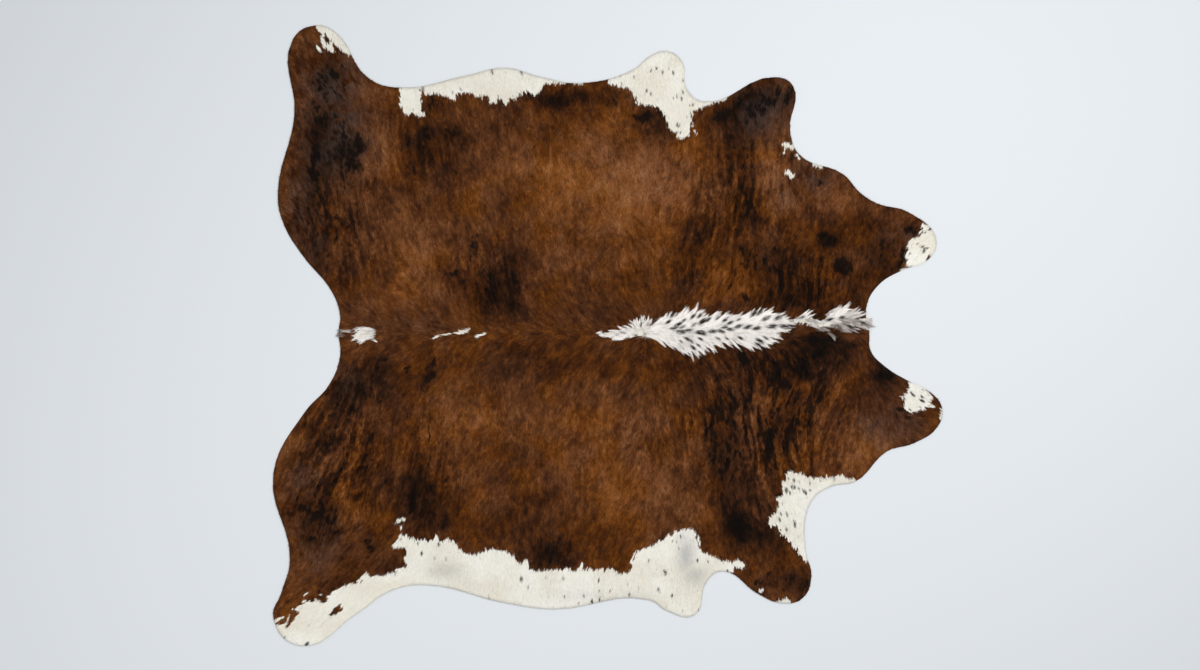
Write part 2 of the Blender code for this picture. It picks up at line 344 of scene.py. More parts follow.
# Smudges of black over the brown
SOOT = table(
    BLOT,
    (-840, 550, 60, 120, 10, 48), (-600, 600, 100, 60, 12, 38), (-420, 170, 110, 90, -20, 40),
    (20, 780, 80, 30, 0, 42), (-160, 770, 90, 35, -4, 55), (460, 620, 70, 200, 0, 36),
    (620, 140, 140, 60, 0, 42), (500, 260, 120, 100, 0, 34), (400, -400, 100, 260, 0, 36),
    (580, -280, 90, 160, -15, 42), (-860, -200, 100, 80, 0, 36), (-950, -560, 100, 140, 0, 36),
    (-630, -550, 80, 110, 0, 26), (900, 280, 90, 80, 0, 34), (-910, 700, 80, 250, 3, 42),
    (-570, 768, 30, 32, 0, 80), (-600, 655, 50, 28, 10, 80), (-505, 668, 46, 24, 14, 78),
    (-660, 640, 22, 30, 0, 78), (340, -270, 12, 90, 0, 80), (410, -260, 20, 100, 2, 85),
    (385, -440, 16, 120, 4, 65), (-735, -75, 45, 16, 40, 70), (-660, -130, 20, 30, 0, 55),
    (-930, 870, 70, 90, 0, 58), (-950, 680, 60, 110, 0, 66), (-870, 610, 70, 70, 30, 56),
    (-960, 470, 50, 160, 0, 55), (-980, 300, 50, 120, 0, 35), (-860, 310, 12, 70, 0, 55),
    (-930, 300, 15, 80, 10, 55), (-1020, 400, 12, 60, 10, 50), (-580, 660, 60, 20, 10, 55),
    (-660, 640, 30, 30, 0, 50), (-370, 130, 50, 50, 0, 75), (-320, 90, 30, 30, 0, 70),
    (-500, 200, 30, 30, -40, 60), (116, 722, 35, 24, -20, 80), (400, 730, 40, 40, 20, 80),
    (500, 780, 80, 60, 30, 65), (580, 770, 30, 60, 0, 60), (445, 560, 18, 150, 0, 68),
    (452, 450, 12, 100, 5, 72), (470, 420, 14, 80, 0, 50), (715, 318, 34, 42, 0, 125),
    (775, 235, 30, 42, 20, 120), (690, 240, 18, 12, 0, 70), (565, 210, 18, 75, 5, 80),
    (420, 200, 14, 60, -15, 45), (460, 120, 20, 40, 30, 45), (995, 345, 30, 26, 20, 120),
    (975, 260, 16, 50, 0, 75), (930, 310, 50, 30, 30, 45), (700, 500, 50, 30, -20, 45),
    (720, -20, 130, 25, 0, 75), (450, -60, 40, 30, 0, 75), (360, -200, 18, 70, 0, 60),
    (400, -280, 18, 80, 5, 70), (360, -420, 16, 120, 0, 55), (570, -140, 20, 80, -10, 60),
    (550, -330, 25, 90, -12, 80), (600, -240, 18, 80, -18, 60), (690, -180, 18, 70, -28, 75),
    (640, -280, 16, 60, -35, 65), (420, -630, 55, 60, 0, 110), (370, -560, 20, 60, 0, 65),
    (600, -820, 50, 50, 20, 60), (530, -800, 40, 40, 0, 45), (925, -140, 28, 30, -20, 90),
    (975, -248, 22, 16, 0, 90), (860, -140, 30, 30, 0, 45), (-720, -100, 50, 25, 40, 60),
    (-780, -170, 20, 50, -15, 55), (-590, -122, 28, 62, -12, 84), (-900, -260, 20, 80, -8, 50),
    (-585, -300, 6, 100, 0, 40), (-970, -600, 50, 50, 0, 60), (-910, -630, 30, 50, 0, 65),
    (-990, -660, 50, 20, 0, 60), (-652, -530, 22, 70, 10, 92), (-550, -460, 30, 30, 0, 40),
    (-530, -620, 40, 20, 30, 60), (-780, -700, 35, 22, 50, 80), (-200, -710, 60, 35, 0, 60),
    (-940, -820, 15, 20, 0, 60), (615, -800, 45, 28, -30, 70), (645, -840, 28, 50, -20, 80),
    (575, -845, 20, 14, 0, 60), (370, 722, 36, 36, 0, 90), (435, 765, 45, 30, 30, 75),
    (602, 795, 24, 50, 0, 90), (480, 790, 50, 34, 25, 78), (-945, 700, 35, 60, 0, 86),
    (-955, 600, 25, 50, 0, 80), (-826, 630, 34, 66, -8, 82), (-915, 870, 60, 60, 0, 68),
    (-1020, -560, 45, 30, 0, 80), (-940, -600, 30, 40, 0, 86), (-970, -668, 50, 20, 0, 82),
    (-1050, -585, 20, 30, 0, 70), (-515, 205, 25, 35, -40, 85), (-475, 170, 20, 30, -20, 80),
    (-450, 290, 22, 50, -15, 62),
)
# Where dark stripes follow the nap
BRINDLE = table(
    BLOT,
    (450, 450, 250, 300, 0, 60), (400, 200, 200, 120, 0, 50), (520, -300, 300, 300, 0, 100),
    (200, -350, 180, 160, 0, 35), (660, 180, 200, 140, 0, 60), (-900, 400, 160, 220, 0, 80),
    (-880, -420, 180, 280, 0, 90), (-600, -420, 160, 220, 0, 45), (-600, 600, 180, 140, 0, 40),
    (-400, 200, 160, 140, 0, 50),
)
# Where the brown turns to a grey brown
GREYING = table(
    BLOT,
    (-910, 840, 110, 110, 0, 95), (-900, 660, 120, 170, 0, 90), (-1020, 440, 60, 140, 0, 60),
    (-980, 300, 80, 120, 0, 40), (510, 750, 120, 80, 25, 90), (670, 520, 70, 50, -30, 75),
    (580, 460, 50, 80, 0, 40), (960, 330, 70, 40, -20, 50), (920, -300, 130, 80, -15, 50),
    (-960, -700, 100, 120, 0, 45), (-1000, -460, 70, 120, 0, 45), (-860, -160, 100, 80, 0, 35),
    (-640, 50, 160, 50, 0, 30),
)
# Grey skin that shows through thin white hair
THIN_HAIR = table(
    BLOT,
    (-535, -775, 68, 30, 0, 30), (258, -725, 30, 60, -8, 58), (287, -792, 45, 34, 0, 42),
    (245, -668, 25, 25, 0, 28), (-20, -860, 220, 20, 0, 12),
)

# --- Colours, as linear RGB ---


def srgb(red, green, blue):
    """The linear colour of a shade given as 0 to 255."""
    shade = np.array([red, green, blue], float) / 255.0
    return np.where(shade <= 0.04045, shade / 12.92, ((shade + 0.055) / 1.055) ** 2.4)


# The browns from dark to light: lightness, colour
BROWNS = (
    (-0.20, srgb(7, 4, 2)),
    (0.00, srgb(17, 8, 3)),
    (0.25, srgb(41, 19, 4)),
    (0.50, srgb(74, 37, 7)),
    (0.75, srgb(107, 58, 14)),
    (1.00, srgb(138, 82, 35)),
    (1.25, srgb(158, 103, 58)),
)
CHARCOAL = srgb(11, 7, 5)
ASH = srgb(75, 58, 50)
DUSTY = np.array((1.42, 0.86, 0.70))    # balance of a duller, redder brown
MOTTLING = 0.32             # how much clouds and locks change the lightness
BRINDLE_DEPTH = 0.62
CREAM = srgb(251, 248, 238)
IVORY = srgb(240, 234, 218)
FLECK_GREY = srgb(70, 66, 62)
FLECK_DARK = srgb(38, 31, 28)
SKIN_GREY = srgb(166, 165, 167)
SPINE_WHITE = srgb(255, 249, 243)
SMOKE = srgb(92, 70, 56)
# Painted shade darkens a lock's root, where it lies under the others; its tip is bleached lighter
LOCK_ROOT_SHADE_AND_TIP_BLEACH = np.array((0.52, 1.0, 1.14, 1.0))    # at a lock's root, a side, its tip and its other side
WHITE_SPREAD = 0.015        # how much locks differ in brightness
BROWN_SPREAD = 0.18

# --- The cut edge and the room inside it ---


def cut_edge():
    """The hide's outline as a ring of points, read from the top face of the CAD solid."""
    solid = bmesh.new()
    solid.from_mesh(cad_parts[HIDE_NODE].data)
    bmesh.ops.remove_doubles(solid, verts=solid.verts, dist=WELD)
    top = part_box(HIDE_NODE)[1].z
    under = [face for face in solid.faces if face.calc_center_median().z < top - WELD]
    bmesh.ops.delete(solid, geom=under, context="FACES")
    rim = [edge for edge in solid.edges if edge.is_boundary]
    first = rim[0].verts[0]
    ring = [first]
    edge = rim[0]
    while True:
        vertex = edge.other_vert(ring[-1])
        if vertex is first:
            break
        ring.append(vertex)
        edge = next(other for other in vertex.link_edges if other.is_boundary and other is not edge)
    points = np.array([vertex.co[:2] for vertex in ring])
    solid.free()
    return points


EDGE = cut_edge()
MAP_CELL = 0.010            # grid on which slowly changing values are kept
MAP_MARGIN = 0.05
MAP_LOW = EDGE.min(axis=0) - MAP_MARGIN
MAP_SHAPE = tuple(np.ceil((EDGE.max(axis=0) + MAP_MARGIN - MAP_LOW) / MAP_CELL).astype(int) + 1)


def map_points():
    """The nodes of the grid."""
    across, along = np.meshgrid(np.arange(MAP_SHAPE[1]), np.arange(MAP_SHAPE[0]))
    return MAP_LOW + MAP_CELL * np.stack([along.ravel(), across.ravel()], axis=1)


def read_map(chart, points):
    """Values of a chart at any points, by linear steps between the grid's nodes."""
    place = (points - MAP_LOW) / MAP_CELL
    limit = np.array(MAP_SHAPE) - 2
    cell = np.clip(place.astype(int), 0, limit)
    part = np.clip(place - cell, 0.0, 1.0)
    i, j = cell[:, 0], cell[:, 1]
    u, v = part[:, 0], part[:, 1]
    if chart.ndim == 3:
        u, v = u[:, None], v[:, None]
    near = chart[i, j] * (1 - v) + chart[i, j + 1] * v
    far = chart[i + 1, j] * (1 - v) + chart[i + 1, j + 1] * v
    return near * (1 - u) + far * u


def room_chart():
    """How far in from the cut edge each node of the chart is, negative outside it."""
    points = map_points()
    nearest = np.full(len(points), np.inf)
    inside = np.zeros(len(points), bool)
    for start, end in zip(EDGE, np.roll(EDGE, -1, axis=0)):
        run = end - start
        share = np.clip((points - start) @ run / (run @ run), 0.0, 1.0)
        nearest = np.minimum(nearest, ((points - start - share[:, None] * run) ** 2).sum(axis=1))
        if start[1] != end[1]:
            crosses = (points[:, 1] < start[1]) != (points[:, 1] < end[1])
            where = start[0] + (points[:, 1] - start[1]) * run[0] / run[1]
            inside ^= crosses & (points[:, 0] < where)
    return (np.sqrt(nearest) * np.where(inside, 1.0, -1.0)).reshape(MAP_SHAPE)


ROOM = room_chart()

# --- Soft shapes: blots, strokes and noise ---

BLOT_FALL = 1.2             # how fast a blot fades towards its reach
BRUSH_REACH = 0.05          # how far outside a stroke its depth is followed
BARE_BREADTH = 0.02         # radius of stroke that counts where none is near
NOISE_MARGIN = 0.3          # how far the noise reaches past the charts
NOISE_SPAN = 3.2            # and how much it covers in all, each way


def smooth(value):
    """An even step from 0 to 1."""
    value = np.clip(value, 0.0, 1.0)
    return value * value * (3 - 2 * value)


def unit_steps(steps):
    """The same headings, each one long."""
    return steps / (np.linalg.norm(steps, axis=1)[:, None] + TINY)


def turned(steps, angles):
    """Unit steps turned to the left by angles in radians."""
    cos, sin = np.cos(angles), np.sin(angles)
    return np.stack([steps[:, 0] * cos - steps[:, 1] * sin, steps[:, 0] * sin + steps[:, 1] * cos], axis=1)


def blot_cover(points, x, y, reach_x, reach_y, turn):
    """A soft oval: 1 in its middle, fading outwards."""
    angle = math.radians(turn)
    away = points - (x, y)
    along = (away[:, 0] * math.cos(angle) + away[:, 1] * math.sin(angle)) / reach_x
    across = (away[:, 1] * math.cos(angle) - away[:, 0] * math.sin(angle)) / reach_y
    return np.exp(-BLOT_FALL * (along * along + across * across))


def brush_depth(points, strokes):
    """How deep each point is inside the nearest stroke, negative outside, and that stroke's radius."""
    depth = np.full(len(points), -BRUSH_REACH)
    breadth = np.full(len(points), BARE_BREADTH)
    for x0, y0, radius0, x1, y1, radius1 in strokes:
        reach = max(radius0, radius1) + BRUSH_REACH
        close = np.flatnonzero(
            (points[:, 0] > min(x0, x1) - reach) & (points[:, 0] < max(x0, x1) + reach)
            & (points[:, 1] > min(y0, y1) - reach) & (points[:, 1] < max(y0, y1) + reach)
        )
        away = points[close] - (x0, y0)
        run = np.array([x1 - x0, y1 - y0])
        share = np.clip(away @ run / max(run @ run, TINY), 0.0, 1.0)
        radius = radius0 + share * (radius1 - radius0)
        gap = np.sqrt(((away - share[:, None] * run) ** 2).sum(axis=1))
        deeper = radius - gap > depth[close]
        depth[close[deeper]] = (radius - gap)[deeper]
        breadth[close[deeper]] = radius[deeper]
    return depth, breadth


def speckle(points, cell, seed):
    """Smooth random values from -1 to 1, that change over about one cell."""
    count = int(NOISE_SPAN / cell) + 3
    lattice = np.random.default_rng(seed).uniform(-1.0, 1.0, (count, count))
    place = (points - (MAP_LOW - NOISE_MARGIN)) / cell
    corner = np.clip(place.astype(int), 0, count - 2)
    u, v = smooth(place - corner).T
    i, j = corner.T
    near = lattice[i, j] * (1 - v) + lattice[i, j + 1] * v
    far = lattice[i + 1, j] * (1 - v) + lattice[i + 1, j + 1] * v
    return near * (1 - u) + far * u


# --- The nap ---


def nap_chart():
    """Which way the hair lies, as unit steps: from the spine to the belly and a little to the tail."""
    points = map_points()
    x, y = points.T
    side = np.clip(y / PARTING, -1.0, 1.0)
    near_spine = np.exp(-np.abs(y) / SPINE_BAND)
    before_whorl = smooth((x - WHORL) / WHORL_BAND + 0.5)
    back = -0.16 - 0.9 * near_spine
    forward = 0.04 + 1.1 * near_spine
    total = unit_steps(np.stack([back * (1 - before_whorl) + forward * before_whorl, side], axis=1))
    for x0, y0, reach, heading in NAP_GUIDES:
        weight = GUIDE_PULL * np.exp(-((x - x0) ** 2 + (y - y0) ** 2) / (reach * reach))
        angle = math.radians(heading)
        total += weight[:, None] * np.array([math.cos(angle), math.sin(angle)])
    swirl = 0.30 * speckle(points, 0.13, 11) + 0.16 * speckle(points, 0.05, 12)
    lie = np.stack([total[:, 0] - swirl * total[:, 1], total[:, 1] + swirl * total[:, 0]], axis=1)
    return unit_steps(lie).reshape(MAP_SHAPE + (2,))


NAP = nap_chart()


def nap_at(points):
    """The nap as unit steps at any points."""
    return unit_steps(read_map(NAP, points))


def streaks(points, width, length, seed):
    """Noise drawn out along the nap: about -1 to 1, width across the hair and length along it."""
    steps = max(4, int(length / width * 1.5))
    total = np.zeros(len(points))
    for sense in (1.0, -1.0):
        place = points.copy()
        for _ in range(steps // 2):
            total += speckle(place, width, seed)
            place += nap_at(place) * (sense * length / steps)
    return total / math.sqrt(steps) * 1.1


# --- The markings: sizes of noise in metres, and given shares ---


def flecks_at(points, rows, heading, breadth):
    """How dark each point is from a table of flecks, which are drawn out along the hair."""
    dark = np.zeros(len(points))
    for x, y, reach, strength in rows:
        close = (np.abs(points - (x, y)) < 3 * reach).all(axis=1)
        step = heading(np.array([[x, y]]))[0]
        away = points[close] - (x, y)
        along = (away @ step) / reach
        across = (away @ np.array([-step[1], step[0]])) / (breadth * reach)
        dark[close] = np.maximum(dark[close], strength * np.exp(-along * along - across * across))
    return dark


def white_at(points):
    """Where the coat is white: inside the strokes, with an edge made ragged by the lie of the hair."""
    ragged = 0.0042 * streaks(points, 0.0050, 0.026, 21) + 0.0050 * speckle(points, 0.022, 22)
    ragged += 0.0030 * speckle(points, 0.010, 24)
    ragged += 0.0020 * streaks(points, 0.0020, 0.016, 23)
    depth, breadth = brush_depth(points, WHITE_STROKES)
    white = depth + ragged * np.clip(breadth / FULL_RAG, 0.2, 1.0) > 0.0
    depth, breadth = brush_depth(points, BROWN_ISLANDS)
    return white & (depth + ragged * np.clip(breadth / FULL_RAG, 0.2, 0.6) < 0.0)


def blots_at(points, rows):
    """The strongest of a table's blots at each point."""
    cover = np.zeros(len(points))
    for *blot, strength in rows:
        cover = np.maximum(cover, strength * blot_cover(points, *blot))
    return cover


def brown_at(points):
    """The brown coat: slow tones and painted sheen, mottled clouds, dark stripes along the nap and black
    clumps.
    """
    warp = 0.020 * np.stack([speckle(points, 0.05, 31), speckle(points, 0.05, 32)], axis=1)
    warp += 0.010 * np.stack([speckle(points, 0.02, 33), speckle(points, 0.02, 34)], axis=1)
    moved = points + warp
    broad = streaks(points, 0.016, 0.075, 41)
    middle = streaks(points, 0.0080, 0.026, 42)
    fine = speckle(points, 0.0070, 43) + 0.8 * speckle(points, 0.0042, 50)
    cloud = speckle(points, 0.060, 44) + 0.7 * speckle(points, 0.028, 45) + 0.5 * speckle(points, 0.013, 46)
    drift = speckle(points, 0.14, 49)
    mottle = 0.30 * broad + 0.34 * middle + 0.36 * fine + 0.42 * cloud + 0.35 * drift

    tone = np.full(len(points), BASE_LIGHTNESS)
    # lighter blots with painted sheen, and darker tones of the hair
    for *blot, change in LIGHTER_TONE_AND_SHEEN + DARKER:
        tone += change * blot_cover(moved, *blot)
    brindle = blots_at(points, BRINDLE)
    soot = blots_at(moved, SOOT)
    tone += MOTTLING * mottle * (0.72 + 0.9 * np.maximum(brindle, soot))
    long = streaks(points, 0.011, 0.130, 40)
    stripe = smooth((0.80 * long + 0.45 * broad + 0.35 * middle + 0.20 * cloud + 0.20 * fine - 0.10) / 0.50)
    tone -= brindle * (BRINDLE_DEPTH * stripe - 0.08)

    clump = 0.5 * middle + 0.40 * fine + 0.35 * broad + 0.50 * cloud
    soot = smooth((1.1 * soot + 0.50 * clump * smooth(soot * 3.0) - 0.32) / 0.58)
    levels = [row[0] for row in BROWNS]
    brown = np.stack([np.interp(tone, levels, [row[1][k] for row in BROWNS]) for k in range(3)], axis=1)
    dusk = smooth(0.5 + 0.5 * speckle(points, 0.09, 47) + 0.35 * speckle(points, 0.035, 48))
    brown += (brown.mean(axis=1)[:, None] * DUSTY - brown) * (0.22 * dusk)[:, None]
    ash = blots_at(moved, GREYING) * smooth(0.70 + 0.50 * cloud + 0.4 * middle)
    brown += (ASH * np.maximum(0.30 + 1.45 * tone, 0.12)[:, None] - brown) * ash[:, None]
    brown += (CHARCOAL - brown) * (0.94 * soot)[:, None]
    return brown


def marks_at(points):
    """The colour of the coat at each point, linear RGB, and where it is white."""
    white = white_at(points)
    brown = brown_at(points)
    cream = 0.4 + 0.5 * speckle(points, 0.06, 51) + 0.12 * streaks(points, 0.004, 0.03, 52)
    pale = CREAM + (IVORY - CREAM) * np.clip(cream, 0.0, 1.3)[:, None]
    pale += (SKIN_GREY - pale) * blots_at(points, THIN_HAIR)[:, None]
    fleck = FLECK_GAIN * flecks_at(points, FLECKS, nap_at, FLECK_BREADTH)
    pale += (FLECK_GREY - pale) * smooth(1.2 * fleck)[:, None]
    return np.where(white[:, None], pale, brown), white


# --- The leather ---

# Ridges left in the leather, as strokes: x and y at each end, half-width, height
RIDGES = (
    (-0.78, 0.000, -0.05, 0.004, 0.016, 0.0014),
    (-0.03, -0.118, 0.27, -0.152, 0.007, 0.0010),
    (0.12, -0.190, 0.40, -0.172, 0.009, 0.0008),
    (-0.03, 0.325, 0.13, 0.300, 0.008, 0.0008),
    (-0.03, 0.105, 0.10, 0.120, 0.010, 0.0008),
    (-0.55, -0.620, -0.40, -0.500, 0.020, 0.0008),
)
REST_GAP = 0.0003           # the least height of the underside above the floor
RIPPLE = 0.0012             # slow waves of the leather
RIPPLE_CELL = 0.19
EDGE_CURL = 0.0008          # lift of the cut edge
EDGE_CURL_REACH = 0.02


def rise_at(points):
    """Height of the leather's underside at each point."""
    rise = REST_GAP + RIPPLE * (0.5 + 0.5 * speckle(points, RIPPLE_CELL, 61))
    rise += EDGE_CURL * np.exp(-np.clip(read_map(ROOM, points), 0.0, 1.0) / EDGE_CURL_REACH)
    for x0, y0, x1, y1, width, height in RIDGES:
        depth = brush_depth(points, ((x0, y0, width, x1, y1, width),))[0]
        rise += height * smooth(depth / width)
    return rise


def paint(mesh, colours):
    """Stores a colour at each vertex."""
    attribute = mesh.attributes.new("coat_colour", "FLOAT_COLOR", "POINT")
    rgba = np.ones((len(mesh.vertices), 4), np.float32)
    rgba[:, :3] = colours
    attribute.data.foreach_set("color", rgba.ravel())


def new_piece(name, mesh, materials):
    """A finished piece of the rug: it rides on the hide's body and takes its finish from a slot."""
    for material in materials:
        mesh.materials.append(material)
    piece = bpy.data.objects.new(name, mesh)
    bpy.context.scene.collection.objects.link(piece)
    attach(piece, "root")
    return piece


def cut_into_cells(shape):
    """Cuts a flat shape along a grid, so that it can follow the ripples."""
    for axis in (0, 1):
        normal = Vector((axis == 0, axis == 1, 0.0))
        places = np.arange(EDGE[:, axis].min() + LEATHER_CELL, EDGE[:, axis].max(), LEATHER_CELL)
        for place in places:
            everything = shape.verts[:] + shape.edges[:] + shape.faces[:]
            bmesh.ops.bisect_plane(shape, geom=everything, plane_co=normal * place, plane_no=normal)
    bmesh.ops.triangulate(shape, faces=[face for face in shape.faces if len(face.verts) > 4])


def thicken(shape):
    """Gives a rippled sheet its thickness, and rounds the cut edge."""
    grown = bmesh.ops.extrude_face_region(shape, geom=shape.faces[:])
    raised = [part for part in grown["geom"] if isinstance(part, bmesh.types.BMVert)]
    bmesh.ops.translate(shape, verts=raised, vec=(0.0, 0.0, LEATHER))
    bmesh.ops.recalc_face_normals(shape, faces=shape.faces)
    rims = [edge for edge in shape.edges if edge.calc_face_angle(0.0) > math.radians(60)
            and abs(edge.verts[0].co.z - edge.verts[1].co.z) < LEATHER / 2]
    bmesh.ops.bevel(
        shape, geom=rims, offset=EDGE_ROUNDING, affect="EDGES", segments=2, profile=0.5, material=-1
    )


def make_hide():
    """The leather: the outline cut into cells, laid on its ripples and given its thickness."""
    shape = bmesh.new()
    shape.faces.new([shape.verts.new((x, y, 0.0)) for x, y in EDGE])
    cut_into_cells(shape)
    points = np.array([vertex.co[:2] for vertex in shape.verts])
    for vertex, height in zip(shape.verts, rise_at(points)):
        vertex.co.z = height
    thicken(shape)
    for face in shape.faces:
        face.material_index = 0 if face.normal.z > 0.9 else 1 if face.normal.z < -0.9 else 2
        face.smooth = True
    for edge in shape.edges:
        edge.smooth = len({face.material_index for face in edge.link_faces}) == 1
    mesh = bpy.data.meshes.new("hide")
    shape.to_mesh(mesh)
    shape.free()
    points = np.array([vertex.co[:2] for vertex in mesh.vertices])
    paint(mesh, marks_at(points)[0])
    return new_piece("hide", mesh, (skin_finish(), suede_finish(), cut_edge_and_shadow_finish()))


# --- Finishes ---


class Shade:
    """A shader value: arithmetic on it adds Math nodes to its material."""

    def __init__(self, finish, socket):
        self.finish = finish
        self.socket = socket

    def __add__(self, other):
        return self.finish.maths("ADD", self, other)

    def __mul__(self, other):
        return self.finish.maths("MULTIPLY", self, other)

    __radd__ = __add__
    __rmul__ = __mul__


class Finish:
    """One material: a Principled shader and the nodes that feed it."""

    def __init__(self, name, **sockets):
        self.material = bpy.data.materials.new(name)
        self.material.use_nodes = True
        self.tree = self.material.node_tree
        self.shader = self.tree.nodes["Principled BSDF"]
        self.feed(self.shader, sockets)

    def feed(self, node, values):
        """Sets or links a node's sockets, given by name, with _ for a space, or by number."""
        for key, value in values.items():
            socket = node.inputs[key.replace("_", " ") if isinstance(key, str) else key]
            if isinstance(value, Shade):
                self.tree.links.new(value.socket, socket)
            else:
                socket.default_value = value

    def add(self, kind, settings, values, output=0):
        """A node of any kind: its settings first, then its sockets; gives one of its outputs."""
        node = self.tree.nodes.new("ShaderNode" + kind)
        for name, value in settings.items():
            setattr(node, name, value)
        self.feed(node, values)
        return Shade(self, node.outputs[output])

    def maths(self, operation, first, second):
        return self.add("Math", {"operation": operation}, {0: first, 1: second})

    def place(self):
        """Where a point lies on the piece."""
        return self.add("TexCoord", {}, {}, "Object")

    def painted(self, output):
        """The colour that the mesh was painted with, or its lightness as Fac."""
        return self.add("Attribute", {"attribute_name": "coat_colour"}, {}, output)

    def noise(self, vector, scale, detail=2.0):
        return self.add("TexNoise", {}, {"Vector": vector, "Scale": scale, "Detail": detail}, "Fac")

    def relief(self, height, strength, distance):
        values = {"Height": height, "Strength": strength, "Distance": distance}
        return self.add("Bump", {}, values, "Normal")

    def times(self, colour, value):
        """A colour made darker or lighter by a value."""
        settings = {"data_type": "RGBA", "blend_type": "MULTIPLY"}
        return self.add("Mix", settings, {0: 1.0, 6: colour, 7: value}, 2)

    def between(self, share, first, second):
        """A colour that goes from the first to the second with the share."""
        return self.add("Mix", {"data_type": "RGBA"}, {0: share, 6: (*first, 1.0), 7: (*second, 1.0)}, 2)

    def finish(self, **sockets):
        self.feed(self.shader, sockets)
        return self.material


def hair_finish():
    """Hair: each blade's own colour, with finer strands drawn along it."""
    hair = Finish("hair", Specular_IOR_Level=0.035)
    colour = hair.painted("Color")
    strand = hair.add("UVMap", {"uv_map": "strand"}, {}, "UV")
    strand = hair.add("Mapping", {}, {"Vector": strand, "Scale": (5.0, 0.7, 1.0)}, "Vector")
    lines = hair.noise(strand, 1.6, 1.0)
    slow = hair.noise(hair.place(), 60.0)
    return hair.finish(
        Base_Color=hair.times(colour, 0.80 + 0.28 * lines + 0.12 * slow),
        Roughness=0.42 + 0.25 * lines,
        Normal=hair.relief(lines, 0.35, 0.0004),
    )


def skin_finish():
    """The skin under the hair: the coat's colour with pores, darker, the most so under dark hair."""
    skin = Finish("skin", Specular_IOR_Level=0.2)
    colour = skin.painted("Color")
    paleness = skin.painted("Fac")
    pores = skin.noise(skin.place(), 900.0)
    return skin.finish(
        Base_Color=skin.times(colour, 0.38 + 0.42 * paleness + 0.26 * pores),
        Roughness=0.75 + 0.1 * pores,
        Normal=skin.relief(pores, 0.5, 0.0005),
    )


def suede_finish():
    """The underside: buff suede with a short nap and slow stains."""
    suede = Finish("suede", Sheen_Weight=0.15)
    place = suede.place()
    nap = suede.noise(place, 420.0, 4.0)
    stain = suede.noise(place, 7.0, 3.0)
    colour = suede.between(stain, srgb(196, 172, 146), srgb(164, 136, 108))
    return suede.finish(
        Base_Color=suede.times(colour, 0.8 + 0.4 * nap),
        Roughness=0.82 + 0.12 * nap,
        Normal=suede.relief(nap, 0.6, 0.0006),
    )


def cut_edge_and_shadow_finish():
    """The cut edge of the leather: grey-buff fibres, darkened with painted shadow along the edge."""
    cut = Finish("cut edge", Specular_IOR_Level=0.3)
    fibres = cut.noise(cut.place(), 1500.0, 3.0)
    return cut.finish(
        # darker than the fibres alone: painted shadow along the edge
        Base_Color=cut.between(fibres, srgb(66, 60, 55), srgb(108, 100, 92)),
        Roughness=0.7 + 0.2 * fibres,
        Normal=cut.relief(fibres, 0.5, 0.0003),
    )


# --- The coat ---

# One lock: its root, a side, its tip and its other side
LOCK_FACES = ((0, 1, 2), (0, 2, 3))
LOCK_STRAND = ((0.5, 0.0), (0.0, 0.45), (0.5, 1.0), (1.0, 0.45))
# Pieces of the coat on each side: where they start and end along X
COAT_PARTS = (("rump", -2.0, -0.37), ("barrel", -0.37, 0.30), ("shoulder", 0.30, 2.0))


def mesh_of_blades(name, corners, faces_of_one, colours, strand_of_one):
    """One mesh of many like blades: corners is blades x corners x 3."""
    count, per_blade = corners.shape[:2]
    mesh = bpy.data.meshes.new(name)
    offsets = np.arange(count)[:, None, None] * per_blade
    faces = []
    for face in faces_of_one:
        faces.append((np.array(face)[None, None, :] + offsets).reshape(count, -1))
    loops = np.concatenate(faces, axis=1).reshape(-1)
    sizes = np.tile([len(face) for face in faces_of_one], count)
    mesh.vertices.add(count * per_blade)
    mesh.vertices.foreach_set("co", corners.astype(np.float32).ravel())
    mesh.loops.add(len(loops))
    mesh.loops.foreach_set("vertex_index", loops.astype(np.int32))
    mesh.polygons.add(len(sizes))
    starts = np.concatenate([[0], np.cumsum(sizes)[:-1]])
    mesh.polygons.foreach_set("loop_start", starts.astype(np.int32))
    mesh.polygons.foreach_set("use_smooth", np.ones(len(sizes), bool))
    mesh.update(calc_edges=True)
    paint(mesh, colours.reshape(-1, 3))
    strand = np.array(strand_of_one)[None] + np.array([1.37, 0.61]) * np.arange(count)[:, None, None] % 97
    mesh.uv_layers.new(name="strand").data.foreach_set("uv", strand.reshape(-1, 2)[loops].ravel())
    plan = corners.reshape(-1, 3)[:, :2]
    low, high = plan.min(axis=0), plan.max(axis=0)
    plan = np.clip((plan - low) / (high - low), 0.0, 1.0)
    mesh.uv_layers.new(name="OFBake").data.foreach_set("uv", plan[loops].ravel())
    mesh.uv_layers["OFBake"].active = True
    mesh.uv_layers["OFBake"].active_render = True
    return mesh


def lock_roots():
    """Roots spread evenly over the hide: a grid of shifted rows, each root moved a little."""
    chance = np.random.default_rng(101)
    rows = np.arange(EDGE[:, 1].min(), EDGE[:, 1].max(), LOCK_PITCH)
    columns = np.arange(EDGE[:, 0].min(), EDGE[:, 0].max(), LOCK_PITCH)
    x, y = np.meshgrid(columns, rows)
    x[1::2] += LOCK_PITCH / 2
    points = np.stack([x.ravel(), y.ravel()], axis=1)
    points += chance.uniform(-0.45, 0.45, points.shape) * LOCK_PITCH
    return points[read_map(ROOM, points) > EDGE_INSET]


